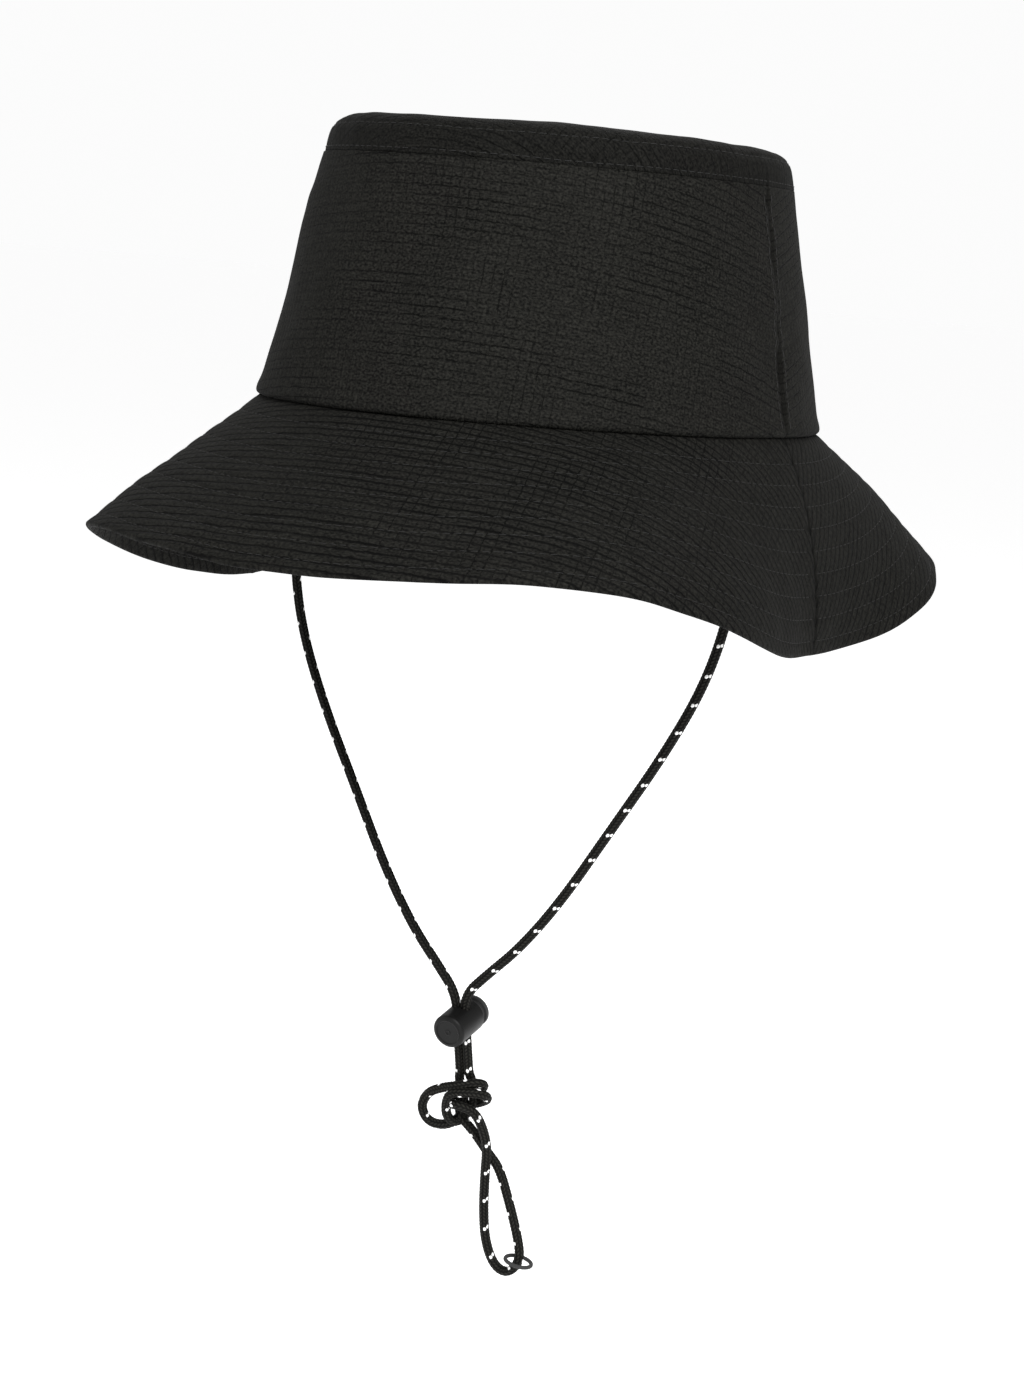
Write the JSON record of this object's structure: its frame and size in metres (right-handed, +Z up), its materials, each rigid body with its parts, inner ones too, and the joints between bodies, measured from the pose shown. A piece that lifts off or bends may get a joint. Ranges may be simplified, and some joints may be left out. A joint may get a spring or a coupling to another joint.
{
  "type": "bucket hat",
  "caption": "Soft bucket hat with a tapered crown, a drooping quilted brim and a chin cord with a sprung cord lock, knot and end loop.",
  "frame": {"origin": "middle of the head opening, on the plane of the seam between crown and brim", "axes": "+Z up towards the top of the crown, -Y the front of the hat, +X the wearer's left"},
  "size_m": [0.2242, 0.3124, 0.3706],
  "materials": {
    "shell_cloth": "black ripstop cloth with a raised 3 mm grid, matt",
    "brim_cloth": "black ripstop cloth, quilted with rows of stitching, matt",
    "stiffener_cloth": "stiff non-woven interlining",
    "binding_tape": "woven seam tape",
    "sweatband_cloth": "brushed wicking tape with a fine rib",
    "tab_webbing": "narrow woven webbing",
    "braided_cord": "round braid with pale reflective flecks",
    "lock_plastic": "fine matt texture",
    "button_plastic": "smooth, slight sheen",
    "spring_steel": "bright drawn wire",
    "ring_rubber": "smooth dark rubber"
  },
  "bodies": {
    "hat": {"crown_tip": "shell_cloth", "crown_front_panel": "shell_cloth", "crown_back_panel": "shell_cloth", "tip_seam_tape": "binding_tape", "side_seam_tape_left": "binding_tape", "side_seam_tape_right": "binding_tape", "head_seam_binding": "binding_tape", "sweatband": "sweatband_cloth", "brim_upper_front": "brim_cloth", "brim_upper_back": "brim_cloth", "brim_stiffener_front": "stiffener_cloth", "brim_stiffener_back": "stiffener_cloth", "brim_under_front": "brim_cloth", "brim_under_back": "brim_cloth", "cord_tab_left": "tab_webbing", "cord_tab_right": "tab_webbing"},
    "chin_cord": {"cord_strand_left": "braided_cord", "cord_strand_right": "braided_cord", "cord_knot": "braided_cord", "cord_end_loop": "braided_cord"},
    "cord_lock": {"lock_barrel": "lock_plastic", "lock_spring": "spring_steel"},
    "lock_button": {"lock_button": "button_plastic"},
    "cord_ring": {"cord_ring": "ring_rubber"}
  },
  "joints": [
    {"name": "chin_cord_swing", "type": "hinge", "parent": "hat", "child": "chin_cord", "pos_m": [0, -0.015, -0.0035], "axis": [1, 0, 0], "range_deg": [-60, 60]},
    {"name": "cord_lock_slide", "type": "slide", "parent": "chin_cord", "child": "cord_lock", "axis": [0, 0.2588, -0.9659], "range_m": [0, 0.011]},
    {"name": "lock_button_press", "type": "slide", "parent": "cord_lock", "child": "lock_button", "axis": [0, -0.9659, -0.2588], "range_m": [0, 0.002], "stiffness_N_per_m": 1200, "springref_m": -0.0015, "deforming": ["lock_spring"]},
    {"name": "cord_ring_slide", "type": "slide", "parent": "chin_cord", "child": "cord_ring", "axis": [0.1908, 0, 0.9816], "range_m": [0, 0.006]}
  ]
}
